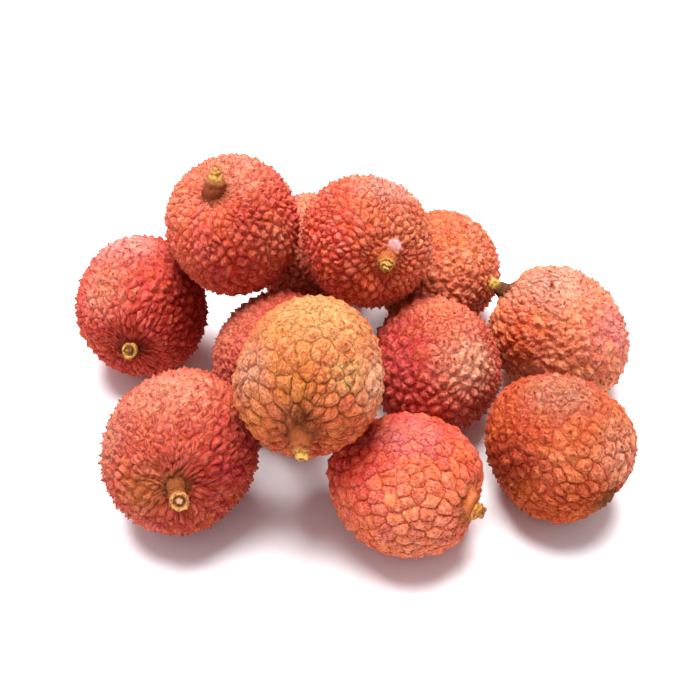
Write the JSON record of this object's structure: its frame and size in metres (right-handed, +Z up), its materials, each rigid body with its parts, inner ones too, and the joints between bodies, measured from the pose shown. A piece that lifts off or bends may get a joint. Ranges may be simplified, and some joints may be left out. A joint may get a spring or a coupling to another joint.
{
  "type": "bunch of lychees",
  "caption": "A loose heap of ripe lychees with warty pink-red to tan rinds and short woody stalk stubs, lying on a surface.",
  "frame": {"origin": "on the surface that the fruits lie on, under the middle of the bunch's bounding box", "axes": "+X to the right along the bunch's longer side, +Y to its back, +Z up"},
  "size_m": [0.14, 0.1136, 0.0605],
  "materials": {
    "rind_red": "matt warty rind, deep rose red",
    "rind_coral": "matt warty rind, coral pink",
    "rind_orange": "matt warty rind, dusty orange",
    "rind_tan": "matt warty rind, drying to tan",
    "stalk": "dry yellow-brown wood with ring scars"
  },
  "bodies": {
    "root": {"lychee_left": "rind_red", "lychee_front_left": "rind_coral", "lychee_middle": "rind_red", "lychee_front": "rind_coral", "lychee_centre": "rind_red", "lychee_front_right": "rind_orange", "lychee_right": "rind_orange", "lychee_back_right": "rind_coral", "lychee_back_left": "rind_coral", "lychee_top_left": "rind_coral", "lychee_top_front": "rind_tan", "lychee_top_right": "rind_coral", "stem_left": "stalk", "stem_front_left": "stalk", "stem_middle": "stalk", "stem_front": "stalk", "stem_centre": "stalk", "stem_front_right": "stalk", "stem_right": "stalk", "stem_back_right": "stalk", "stem_back_left": "stalk", "stem_top_left": "stalk", "stem_top_front": "stalk", "stem_top_right": "stalk"}
  },
  "joints": []
}
